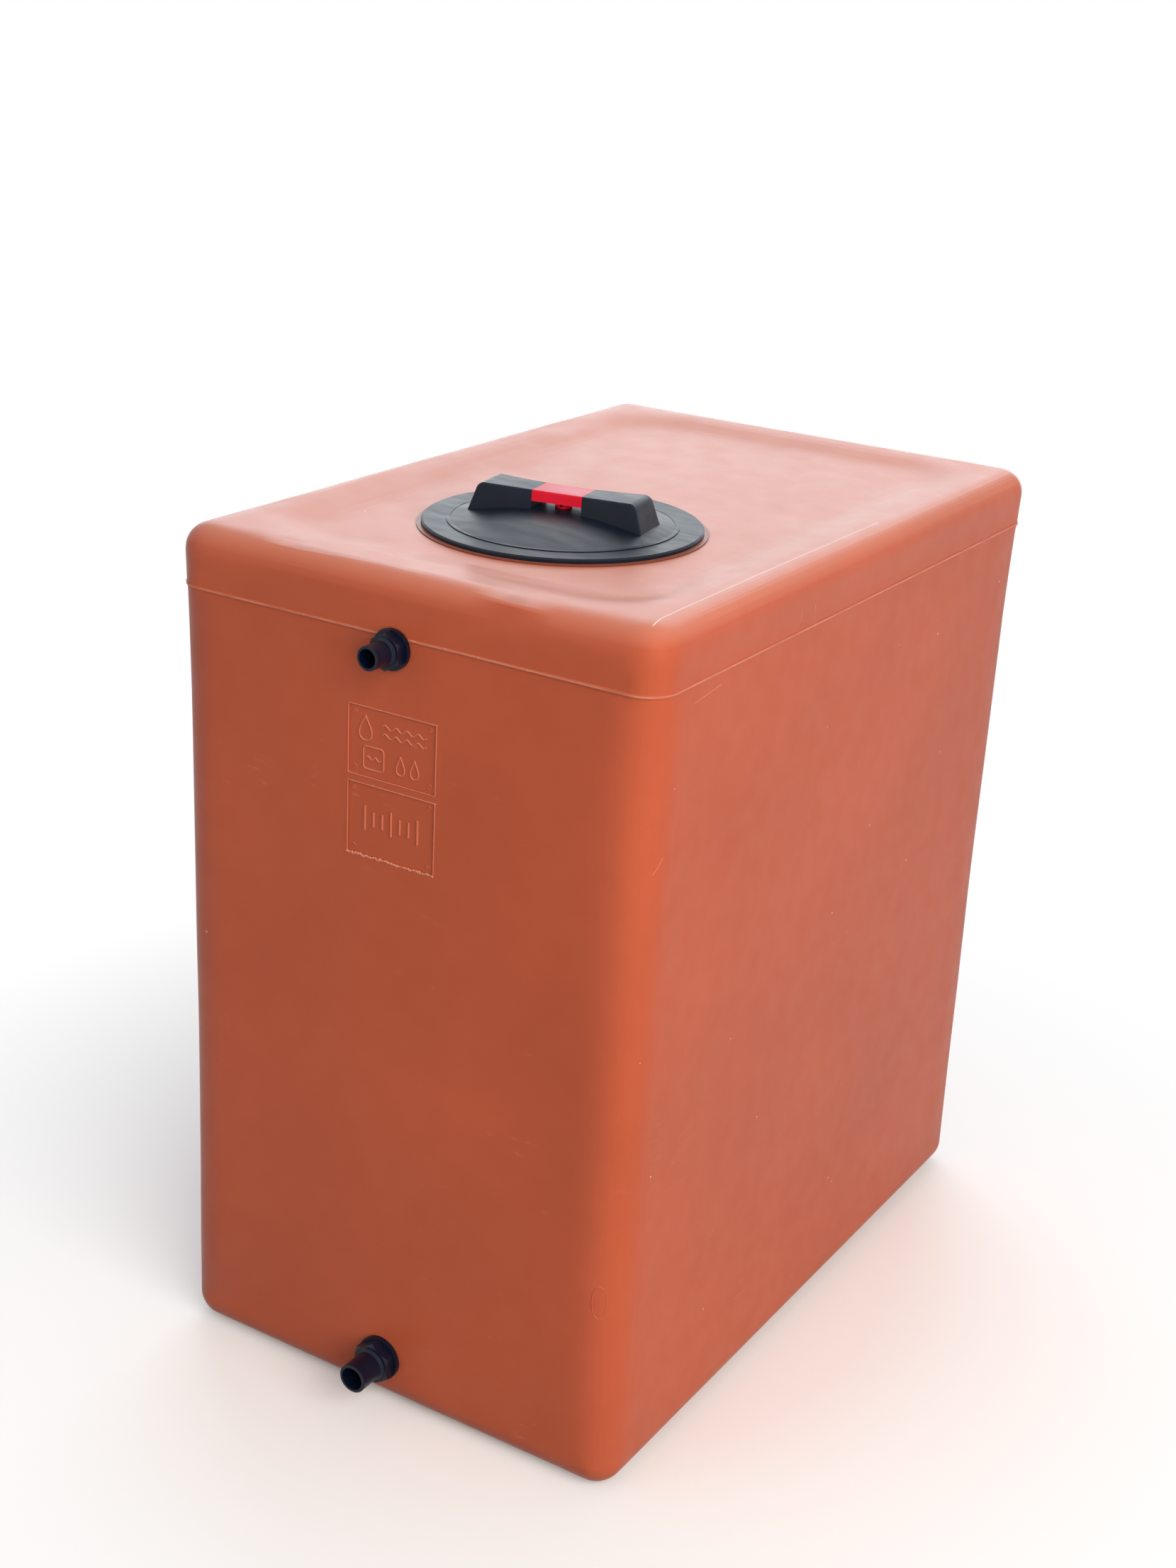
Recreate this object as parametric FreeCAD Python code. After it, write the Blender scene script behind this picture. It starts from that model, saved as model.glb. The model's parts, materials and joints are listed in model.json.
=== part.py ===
import FreeCAD, Part
import math
import os

from FreeCAD import Placement, Rotation, Vector

# Slimline water tank: one hollow moulded body, a screw lid over a round neck,
# and two hose tails clamped through the narrow front wall.
# Millimetres. The origin is the centre of the flat base, +Z is up and the narrow
# front wall, which carries the fittings, faces -Y.

# Tank body, outside sizes
width = 500.0
depth = 766.0
height = 830.0
wall = 5.0
corner_r = 28.0
top_edge_r = 24.0
base_edge_r = 27.0

# The mould halves meet at the parting line; the upper one stands a little proud
top_part_height = 55.0
parting_step = 0.6
flash_proud = 0.7
flash_height = 2.2

# The long walls draw in at mid height and flare out below the top
side_bow = 2.0
flare_height = 160.0
flare_middle = 2.0
flare_side = 4.6

# Shallow well that the lid sits in
well_depth = 7.0
well_rim = 27.0
well_slope = 62.0
well_corner_r = 30.0

# Neck under the lid
lid_setback = 248.0
neck_bore_r = 106.6
neck_wall = 5.0
neck_length = 34.0
seat_r = 135.0
seat_rise = 1.0

# Room for the coarse thread of the lid and the neck
thread_depth = 3.0
thread_gap = 0.6

# Lid
lid_r = 131.0
lid_rim_thick = 4.0
lid_rim_edge = 1.5
lid_wall = 4.0
lid_seat_gap = 0.5
dome_r = 106.0
dome_rise = 13.5
dome_bead = 0.8
dome_bead_width = 4.0
skirt_wall = 3.5
skirt_length = 24.0

# Handle across the lid
handle_turn = 9.6
handle_length = 176.0
handle_top_length = 155.0
handle_width = 50.0
handle_top_width = 44.5
handle_waist = 5.5
handle_height = 17.5
handle_dip = 1.4
handle_end_r = 8.0
handle_edge_r = 1.5
handle_wall = 3.0
notch_length = 50.0

# Vent cap that bridges the notch
cap_height = 10.0
cap_gap = 0.2
cap_stem_r = 8.0
cap_stem_bore_r = 5.0
cap_port_r = 2.0
cap_stem_reach = 3.0
cap_catch = (3.0, 1.6, 3.0)
stem_gap = 0.2

# Lid gasket
gasket_r_in = 113.0
gasket_r_out = 123.0
gasket_thick = 2.4
gasket_gap = 0.3

# Hose fittings, both on one upright line
fitting_x = -7.8
upper_drop = 11.0
lower_height = 49.5
shoulder_proud = 2.0
shoulder_length = 3.0
upper = {
    "spigot_r": 11.0, "bore_r": 8.5, "reach": 36.5, "mouth": 0.6, "flange_r": 18.5, "flange": 3.0,
    "hex": 30.0, "hex_length": 9.0, "shank_r": 13.2, "nut": 36.0, "nut_length": 11.0,
}
lower = {
    "spigot_r": 14.5, "bore_r": 11.5, "reach": 45.0, "mouth": 0.7, "flange_r": 22.5, "flange": 3.5,
    "hex": 38.0, "hex_length": 11.0, "shank_r": 16.6, "nut": 44.0, "nut_length": 13.0,
}
hole_gap = 0.5
washer_thick = 2.0
washer_gap = 0.3
shank_past_nut = 5.0
nut_gap = 0.15
facing_gap = 1.0

# Two recessed plates under the upper fitting
plate_width = 94.0
plate_recess = 1.2
plate_corner_r = 1.5
upper_plate_drop = 69.5
upper_plate_height = 64.5
lower_plate_height = 68.0
plate_spacing = 7.0
plate_x = -7.8

# How far a cutting tool runs past the face it cuts
margin = 1.0

parting_z = height - top_part_height
floor_z = height - well_depth
seat_z = floor_z + seat_rise
front_y = -depth / 2
lid_y = front_y + lid_setback
lid_axis = Vector(0, lid_y, 0)
upper_z = parting_z - upper_drop
lid_under_z = seat_z + lid_seat_gap
rim_top_z = lid_under_z + lid_rim_thick
dome_top_z = rim_top_z + dome_rise
handle_top_z = dome_top_z + handle_height
neck_crest_r = neck_bore_r - thread_depth
skirt_r = neck_crest_r - thread_gap
skirt_bottom_z = seat_z - skirt_length


def line(a, b):
    return Part.LineSegment(a, b).toShape()


def arc_through(a, b, c):
    return Part.Arc(a, b, c).toShape()


def rounded_rectangle(half_x, half_y, r, z):
    """Closed wire of straight sides and quarter arcs, from the middle of the +X side."""
    at_x, at_y = half_x - r, half_y - r
    bulge = r * math.sqrt(0.5)
    wire, last = [], Vector(half_x, 0, z)
    for sx, sy in ((1, 1), (-1, 1), (-1, -1), (1, -1)):
        beside, across = Vector(sx * half_x, sy * at_y, z), Vector(sx * at_x, sy * half_y, z)
        first, second = (beside, across) if sx * sy > 0 else (across, beside)
        middle = Vector(sx * (at_x + bulge), sy * (at_y + bulge), z)
        wire += [line(last, first), arc_through(first, middle, second)]
        last = second
    return Part.Wire(wire + [line(last, Vector(half_x, 0, z))])


def body_form(grow, bottom_z, top_z, base_r, top_r):
    """Solid body, moved out by grow: bowed and flared long walls, flat end walls, round edges."""
    half_x, half_y = width / 2 + grow, depth / 2 + grow
    flare_z = height - flare_height
    marks = [
        (half_x, bottom_z), (half_x - side_bow, (bottom_z + flare_z) / 2), (half_x, flare_z),
        (half_x + flare_middle, (flare_z + top_z) / 2), (half_x + flare_side, top_z),
    ]
    right = [Vector(x, -half_y, z) for x, z in marks]
    left = [Vector(-x, -half_y, z) for x, z in marks]
    outline = Part.Wire([
        arc_through(*right[:3]), arc_through(*right[2:]), line(right[-1], left[-1]),
        arc_through(*left[:1:-1]), arc_through(*left[2::-1]), line(left[0], right[0]),
    ])
    body = Part.Face(outline).extrude(Vector(0, 2 * half_y, 0))
    body = body.makeFillet(corner_r + grow, [e for e in body.Edges if e.BoundBox.ZLength > flare_height / 2])
    body = round_edges_at(body, bottom_z, base_r)
    return round_edges_at(body, top_z, top_r)


def round_edges_at(solid, z, r):
    edges = [e for e in solid.Edges if abs(e.BoundBox.ZMin - z) < 0.01 and abs(e.BoundBox.ZMax - z) < 0.01]
    return solid.makeFillet(r, edges)


def slab(z0, z1):
    return Part.makeBox(2 * width, 2 * depth, z1 - z0, Vector(-width, -depth, z0))


def well_tool(z_shift):
    """Solid above the lid's well: a level floor that runs up to the rim in an S on all sides."""
    edge_x, edge_y = width / 2 + flare_side - well_rim, depth / 2 - well_rim
    low, high, top = floor_z + z_shift, height + z_shift, height + top_edge_r
    drop, outer_r = high - low, well_corner_r + well_slope
    bend = Vector(well_slope / 4, 0, drop / 8)
    start, foot = Vector(edge_x, 0, high), Vector(edge_x - well_slope, 0, low)
    middle = (start + foot) / 2
    upper_bend = (start + middle) / 2 + Vector(0, 0, bend.z)
    lower_bend = (foot + middle) / 2 - Vector(0, 0, bend.z)
    over_foot, over_start = Vector(foot.x, 0, top), Vector(start.x, 0, top)
    section = Part.Face(Part.Wire([
        arc_through(start, upper_bend, middle), arc_through(middle, lower_bend, foot),
        line(foot, over_foot), line(over_foot, over_start), line(over_start, start),
    ]))
    path = rounded_rectangle(edge_x, edge_y, outer_r, high)
    floor = Part.Face(rounded_rectangle(edge_x - well_slope, edge_y - well_slope, well_corner_r, low))
    return path.makePipe(section).fuse(floor.extrude(Vector(0, 0, top - low)))


def body_outside():
    lower_part = body_form(0, 0, height, base_edge_r, top_edge_r).common(slab(-height, parting_z))
    proud = body_form(parting_step, 0, height, base_edge_r, top_edge_r)
    upper_part = proud.common(slab(parting_z, 2 * height))
    flash = body_form(parting_step + flash_proud, 0, height, base_edge_r, top_edge_r)
    flash = flash.common(slab(parting_z - flash_height / 2, parting_z + flash_height / 2))
    return lower_part.fuse(upper_part).fuse(flash).cut(well_tool(0))


def body_inside():
    inside = body_form(-wall, wall, height - wall, base_edge_r - wall, top_edge_r - wall)
    return inside.cut(well_tool(-wall))


def cylinder(r, z0, z1):
    """Upright cylinder about the lid's axis."""
    return Part.makeCylinder(r, z1 - z0, Vector(0, lid_y, z0))


def ring(r_in, r_out, z0, z1):
    return cylinder(r_out, z0, z1).cut(cylinder(r_in, z0 - margin, z1 + margin))


def rod(r, y0, y1, z):
    """Cylinder along Y on a fitting's axis."""
    return Part.makeCylinder(r, y1 - y0, Vector(fitting_x, y0, z), Vector(0, 1, 0))


def cone(r0, r1, y0, y1, z):
    return Part.makeCone(r0, r1, y1 - y0, Vector(fitting_x, y0, z), Vector(0, 1, 0))


def hexagon(across, y0, y1, z):
    r = across / math.sqrt(3)
    points = [Vector(fitting_x + r * math.sin(math.radians(a)), y0, z + r * math.cos(math.radians(a)))
              for a in range(0, 361, 60)]
    return Part.Face(Part.makePolygon(points)).extrude(Vector(0, y1 - y0, 0))


def plate_cut(top_z, plate_height):
    """Shallow recess in the front wall."""
    box = Part.makeBox(plate_width, 2 * plate_recess, plate_height,
                       Vector(plate_x - plate_width / 2, front_y - plate_recess, top_z - plate_height))
    upright = [e for e in box.Edges if e.BoundBox.YLength > plate_recess]
    return box.makeFillet(plate_corner_r, upright)


def tank_shell():
    neck_bottom_z = seat_z - neck_length
    shell = body_outside().cut(body_inside())
    shell = shell.fuse(cylinder(seat_r, floor_z - wall / 2, seat_z))
    shell = shell.fuse(cylinder(neck_bore_r + neck_wall, neck_bottom_z, seat_z - seat_rise))
    shell = shell.cut(cylinder(neck_bore_r, neck_bottom_z - margin, seat_z + margin))
    for size, z in ((upper, upper_z), (lower, lower_height)):
        shell = shell.cut(rod(size["flange_r"] + facing_gap, front_y - wall, front_y, z))
        shell = shell.cut(rod(size["shank_r"] + hole_gap, front_y - wall, front_y + 2 * wall, z))
    upper_top = parting_z - upper_plate_drop
    lower_top = upper_top - upper_plate_height - plate_spacing
    shell = shell.cut(plate_cut(upper_top, upper_plate_height))
    shell = shell.cut(plate_cut(lower_top, lower_plate_height))
    return shell.removeSplitter()


def handle_body(inset):
    """The handle's outer form, or its hollow when inset by the wall, centred on the Z axis.

    A long trapezium with a dipped top, drawn in at the waist by two leaning cylinders.
    """
    rise = handle_top_z - rim_top_z
    end_lean = (handle_length - handle_top_length) / (2 * rise)
    side_lean = (handle_width - handle_top_width) / (2 * rise)
    foot_x = handle_length / 2 + end_lean * (rim_top_z - seat_z) - inset
    head_x, head_z = handle_top_length / 2 - inset, handle_top_z - inset
    foot_l, foot_r = Vector(-foot_x, -handle_width, seat_z), Vector(foot_x, -handle_width, seat_z)
    head_l, head_r = Vector(-head_x, -handle_width, head_z), Vector(head_x, -handle_width, head_z)
    dip = Vector(0, -handle_width, head_z - handle_dip)
    outline = Part.Wire([line(foot_l, foot_r), line(foot_r, head_r), arc_through(head_r, dip, head_l),
                         line(head_l, foot_l)])
    body = Part.Face(outline).extrude(Vector(0, 2 * handle_width, 0))
    head_edges = [e for e in body.Edges
                  if e.BoundBox.ZMin > head_z - handle_dip and e.BoundBox.XLength < margin]
    body = body.makeFillet(handle_end_r - inset, head_edges)
    waist_r = (handle_length ** 2 / 4 + handle_waist ** 2) / (2 * handle_waist)
    waist_y = handle_width / 2 - handle_waist + waist_r * math.hypot(1, side_lean)
    for side in (-1, 1):
        up = Vector(0, -side * side_lean, 1)
        start = Vector(0, side * waist_y, rim_top_z) - up * waist_r
        body = body.cut(Part.makeCylinder(waist_r + inset, 2 * waist_r, start, up))
    if inset:
        return body
    rounded = [e for e in body.Edges
               if abs(e.BoundBox.Center.y) > margin and e.BoundBox.ZMax > seat_z + margin]
    return body.makeFillet(handle_edge_r, rounded)


def placed_on_lid(shape):
    turn = Placement(lid_axis, Rotation(Vector(0, 0, 1), handle_turn))
    shape.Placement = turn.multiply(shape.Placement)
    return shape


def turned(points):
    """Solid of revolution about the lid's axis from corner points (r, z)."""
    corners = [Vector(r, 0, z) for r, z in points + points[:1]]
    solid = Part.Face(Part.makePolygon(corners)).revolve(Vector(0, 0, 0), Vector(0, 0, 1), 360)
    solid.translate(lid_axis)
    return solid


def dome_z(r):
    """Height of the dome's spherical top at radius r."""
    ball_r = (dome_r ** 2 + dome_rise ** 2) / (2 * dome_rise)
    return dome_top_z - ball_r + math.sqrt(ball_r ** 2 - r ** 2)


def dome_outside():
    ball_r = (dome_r ** 2 + dome_rise ** 2) / (2 * dome_rise)
    ball = Part.makeSphere(ball_r, lid_axis + Vector(0, 0, dome_top_z - ball_r))
    return ball.common(cylinder(dome_r, lid_under_z, dome_top_z + margin))


def dome_hollow():
    """Room under the dome down to the skirt's mouth, with its ceiling in two conical steps."""
    inner_r = skirt_r - skirt_wall
    bottom_z = skirt_bottom_z - margin
    return turned([(0, bottom_z), (inner_r, bottom_z), (inner_r, dome_z(inner_r) - lid_wall),
                   (dome_r / 2, dome_z(dome_r / 2) - lid_wall), (0, dome_top_z - lid_wall)])


def handle_towers(inset):
    """The two halves of the handle, each side of the notch."""
    half_gap = notch_length / 2 + inset
    start_z = seat_z - handle_wall - margin
    notch = Part.makeBox(2 * half_gap, 4 * handle_width, handle_top_z + margin - start_z,
                         Vector(-half_gap, -2 * handle_width, start_z))
    return handle_body(inset).cut(notch)


def screw_lid():
    rim = turned([(0, lid_under_z), (lid_r, lid_under_z), (lid_r, rim_top_z - lid_rim_edge),
                  (lid_r - lid_rim_edge, rim_top_z), (0, rim_top_z)])
    bead = ring(dome_r - dome_bead_width / 2, dome_r + dome_bead_width / 2,
                lid_under_z + margin, rim_top_z + dome_bead)
    lid = rim.fuse(dome_outside()).fuse(bead).fuse(placed_on_lid(handle_towers(0)))
    towers_hollow = placed_on_lid(handle_towers(handle_wall))
    inner_disc = cylinder(skirt_r - skirt_wall, seat_z - 2 * handle_wall, handle_top_z)
    lid = lid.cut(towers_hollow.common(inner_disc)).cut(dome_hollow())
    lid = lid.fuse(ring(skirt_r - skirt_wall, skirt_r, skirt_bottom_z, lid_under_z + margin))
    lid = lid.cut(ring(gasket_r_in - gasket_gap, gasket_r_out + gasket_gap, seat_z, seat_z + gasket_thick))
    lid = lid.cut(cylinder(cap_stem_r + stem_gap, dome_top_z - 2 * lid_wall, dome_top_z + margin))
    return lid.removeSplitter()


def vent_cap():
    """Red bridge over the notch, on a hollow stem that plugs into the dome."""
    half = notch_length / 2 - cap_gap
    under_z = handle_top_z - handle_dip - cap_height
    block = Part.makeBox(2 * half, 2 * handle_width, 2 * cap_height, Vector(-half, -handle_width, under_z))
    cap = handle_body(0).common(block)
    catch_x, catch_y, catch_z = cap_catch
    catch = Part.makeBox(catch_x, catch_y, catch_z,
                         Vector(-catch_x / 2, handle_waist - handle_top_width / 2, under_z - catch_z / 2))
    foot = Vector(0, 0, dome_top_z - lid_wall - cap_stem_reach)
    stem = Part.makeCylinder(cap_stem_r, under_z - foot.z + margin, foot)
    bore = Part.makeCylinder(cap_stem_bore_r, under_z - foot.z, foot)
    port = Part.makeCylinder(cap_port_r, 2 * handle_width,
                             Vector(0, -handle_width, (dome_top_z + under_z) / 2), Vector(0, 1, 0))
    return placed_on_lid(cap.fuse(catch).fuse(stem).cut(bore).cut(port)).removeSplitter()


def lid_gasket():
    return ring(gasket_r_in, gasket_r_out, seat_z, seat_z + gasket_thick)


def tail(size, z):
    """Hose tail: flange, hexagon, spigot and a threaded shank through the wall, in one piece."""
    flange_back = front_y - washer_thick
    flange_face = flange_back - size["flange"]
    hex_face = flange_face - size["hex_length"]
    tip = front_y - size["reach"]
    shank_end = front_y + wall + washer_thick + size["nut_length"] + shank_past_nut
    body = rod(size["flange_r"], flange_face, flange_back, z)
    edge_cone = cone(size["hex"] / 2, size["hex"] / 2 + size["hex_length"] + margin,
                     hex_face, flange_face + margin, z)
    body = body.fuse(hexagon(size["hex"], hex_face, flange_face, z).common(edge_cone))
    shoulder = cone(size["spigot_r"], size["spigot_r"] + shoulder_proud,
                    hex_face - shoulder_length, hex_face, z)
    mouth = cone(size["spigot_r"] - size["mouth"], size["spigot_r"], tip, tip + size["mouth"], z)
    spigot = rod(size["spigot_r"], tip + size["mouth"], flange_face, z)
    shank = rod(size["shank_r"], flange_back, shank_end, z)
    body = body.fuse(shoulder).fuse(mouth).fuse(spigot).fuse(shank)
    return body.cut(rod(size["bore_r"], tip - margin, shank_end + margin, z)).removeSplitter()


def washer(size, z, y0):
    outer = rod(size["flange_r"] - washer_gap, y0, y0 + washer_thick, z)
    return outer.cut(rod(size["shank_r"] + washer_gap, y0 - margin, y0 + washer_thick + margin, z))


def backnut(size, z):
    y0 = front_y + wall + washer_thick
    y1 = y0 + size["nut_length"]
    edge_cone = cone(size["nut"] / 2 + size["nut_length"] + margin, size["nut"] / 2, y0 - margin, y1, z)
    nut = hexagon(size["nut"], y0, y1, z).common(edge_cone)
    return nut.cut(rod(size["shank_r"] + nut_gap, y0 - margin, y1 + margin, z))


def build():
    nodes = {
        "tank_shell": tank_shell(),
        "screw_lid": screw_lid(),
        "vent_cap": vent_cap(),
        "lid_gasket": lid_gasket(),
    }
    for name, size, z in (("upper", upper, upper_z), ("lower", lower, lower_height)):
        nodes[name + "_hose_tail"] = tail(size, z)
        nodes[name + "_outer_washer"] = washer(size, z, front_y - washer_thick)
        nodes[name + "_inner_washer"] = washer(size, z, front_y + wall)
        nodes[name + "_backnut"] = backnut(size, z)
    os.makedirs("parts", exist_ok=True)
    for name, shape in nodes.items():
        solids = shape.Solids
        shape = solids[0] if len(solids) == 1 else Part.makeCompound(solids)
        shape.exportStep("parts/" + name + ".step")
        print(name, "valid", shape.isValid(), "solids", len(solids), "litres", round(shape.Volume / 1e6, 4))


build()
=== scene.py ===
"""Slimline water tank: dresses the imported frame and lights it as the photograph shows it."""
import json
import math

import bmesh
import bpy
from mathutils import Matrix, Vector, bvhtree, kdtree, noise


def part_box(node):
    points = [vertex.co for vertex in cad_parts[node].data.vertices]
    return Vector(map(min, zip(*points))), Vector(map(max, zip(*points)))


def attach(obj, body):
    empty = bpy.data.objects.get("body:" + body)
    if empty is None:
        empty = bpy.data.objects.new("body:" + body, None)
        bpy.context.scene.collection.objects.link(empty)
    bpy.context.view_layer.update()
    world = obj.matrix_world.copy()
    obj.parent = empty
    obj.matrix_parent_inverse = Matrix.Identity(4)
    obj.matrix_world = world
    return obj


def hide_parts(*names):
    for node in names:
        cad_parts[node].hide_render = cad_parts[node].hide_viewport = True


bl_info = {
    "name": "Slimline water tank",
    "version": (1, 0, 0),
    "blender": (4, 5, 0),
    "location": "View3D > Sidebar > Water tank",
    "description": "Builds the finishes, threads, marks and studio of a moulded water tank",
    "category": "Object",
}

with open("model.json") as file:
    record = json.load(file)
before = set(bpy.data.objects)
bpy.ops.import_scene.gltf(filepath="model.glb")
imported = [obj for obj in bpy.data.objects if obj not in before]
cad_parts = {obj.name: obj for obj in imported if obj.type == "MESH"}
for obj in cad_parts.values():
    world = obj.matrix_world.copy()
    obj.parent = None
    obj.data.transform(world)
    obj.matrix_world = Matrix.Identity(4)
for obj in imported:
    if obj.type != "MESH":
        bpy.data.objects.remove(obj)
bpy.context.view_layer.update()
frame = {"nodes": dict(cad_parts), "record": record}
nodes = frame["nodes"]

MM = 0.001
SHELL = "tank_shell"
TANK_BODY, LID_BODY = "tank", "lid"
SIDES = ("upper", "lower")
TOP_PART_HEIGHT = 0.055

lid_low, lid_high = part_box("screw_lid")
lid_axis = Vector(((lid_low[0] + lid_high[0]) / 2, (lid_low[1] + lid_high[1]) / 2, 0))
seat_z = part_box("lid_gasket")[0][2]
skirt_foot_z = lid_low[2]
shell_low, shell_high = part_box(SHELL)
shell_centre = Vector((0, 0, shell_high[2] / 2))
PARTING_Z = shell_high[2] - TOP_PART_HEIGHT
SEAT_R = 134 * MM


def hex_colour(text, alpha=1.0):
    """sRGB hex text as a linear colour."""
    channels = [int(text[i:i + 2], 16) / 255 for i in (0, 2, 4)]
    linear = [c / 12.92 if c <= 0.04045 else ((c + 0.055) / 1.055) ** 2.4 for c in channels]
    return (*linear, alpha)


class TankFinish(bpy.types.PropertyGroup):
    """Colours of the plastics and the rubber."""
    terracotta: bpy.props.FloatVectorProperty(
        name="Terracotta", description="Pigment of the moulded polyethylene body", subtype="COLOR",
        size=4, min=0, max=1, default=hex_colour("B65639"))
    # Pale colour for scuffs and wear, and also for the painted sheen on upward faces and the painted
    # highlights.
    pale_wear_and_sheen: bpy.props.FloatVectorProperty(
        name="Pale terracotta", description="Scuffed and bleached pigment", subtype="COLOR",
        size=4, min=0, max=1, default=hex_colour("DD957E"))
    lid_black: bpy.props.FloatVectorProperty(
        name="Lid black", description="Carbon black polypropylene of the lid", subtype="COLOR",
        size=4, min=0, max=1, default=hex_colour("0C1420"))
    fitting_black: bpy.props.FloatVectorProperty(
        name="Fitting black", description="Carbon black polypropylene of the hose tails", subtype="COLOR",
        size=4, min=0, max=1, default=hex_colour("080F22"))
    vent_red: bpy.props.FloatVectorProperty(
        name="Vent red", description="Red polypropylene of the vent cap", subtype="COLOR",
        size=4, min=0, max=1, default=hex_colour("CC0828"))
    rubber_black: bpy.props.FloatVectorProperty(
        name="Rubber black", description="Rubber of the gasket and the washers", subtype="COLOR",
        size=4, min=0, max=1, default=hex_colour("15161A"))


class TankSizes(bpy.types.PropertyGroup):
    """Sizes of what the frame leaves out."""
    wall_wave: bpy.props.FloatProperty(
        name="Wall wave", description="How far the cooled walls wander in and out", unit="LENGTH",
        default=0.7 * MM, min=0, max=0.003)
    thread_pitch: bpy.props.FloatProperty(
        name="Lid thread pitch", description="Rise of the lid in one turn", unit="LENGTH",
        default=0.010, min=0.004, max=0.02)
    flash_nibs: bpy.props.IntProperty(
        name="Flash nibs", description="Small burrs left along the parting line", default=150, min=0, max=600)
    mark_height: bpy.props.FloatProperty(
        name="Mark height", description="How far the moulded marks stand off the plates", unit="LENGTH",
        default=0.8 * MM, min=0, max=0.001)


def sizes():
    return bpy.context.scene.tank_sizes


def finish():
    return bpy.context.scene.tank_finish


def add(tree, kind, inputs=None, **settings):
    """Adds one node with its settings and links; an input is a value or another node's socket."""
    node = tree.nodes.new(kind)
    for name, setting in settings.items():
        setattr(node, name, setting)
    for socket, value in (inputs or {}).items():
        if isinstance(value, bpy.types.NodeSocket):
            tree.links.new(value, node.inputs[socket])
        else:
            node.inputs[socket].default_value = value
    return node


def new_material(name, roughness, ior, specular=0.5):
    material = bpy.data.materials.new(name)
    material.use_nodes = True
    tree = material.node_tree
    shader = tree.nodes["Principled BSDF"]
    shader.inputs["Roughness"].default_value = roughness
    shader.inputs["IOR"].default_value = ior
    shader.inputs["Specular IOR Level"].default_value = specular
    return material, tree, shader


def pattern(tree, place, grain, detail=3.0, stretch=(1, 1, 1), turn=(0, 0, 0), rough=0.5):
    """Noise whose lumps are about grain metres across, or longer where stretch is under one."""
    mapped = add(tree, "ShaderNodeMapping", {"Vector": place, "Scale": stretch, "Rotation": turn})
    noise_node = add(tree, "ShaderNodeTexNoise", {
        "Vector": mapped.outputs["Vector"], "Scale": 1 / grain, "Detail": detail, "Roughness": rough})
    return noise_node.outputs["Fac"]


def between(tree, value, low, high, to_low=0.0, to_high=1.0):
    """Value moved from one range to another, held at its ends."""
    return add(tree, "ShaderNodeMapRange", {
        "Value": value, "From Min": low, "From Max": high, "To Min": to_low,
        "To Max": to_high}).outputs["Result"]


def maths(tree, operation, first, second):
    return add(tree, "ShaderNodeMath", {0: first, 1: second}, operation=operation).outputs["Value"]


def mixed(tree, factor, first, second):
    """Colour mix; the node has sockets of one name for each data type, so they are picked by index."""
    return add(tree, "ShaderNodeMix", {0: factor, 6: first, 7: second}, data_type="RGBA").outputs[2]


def bumped(tree, height, distance, normal=None):
    inputs = {"Height": height, "Distance": distance}
    if normal:
        inputs["Normal"] = normal
    return add(tree, "ShaderNodeBump", inputs).outputs["Normal"]


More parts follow.
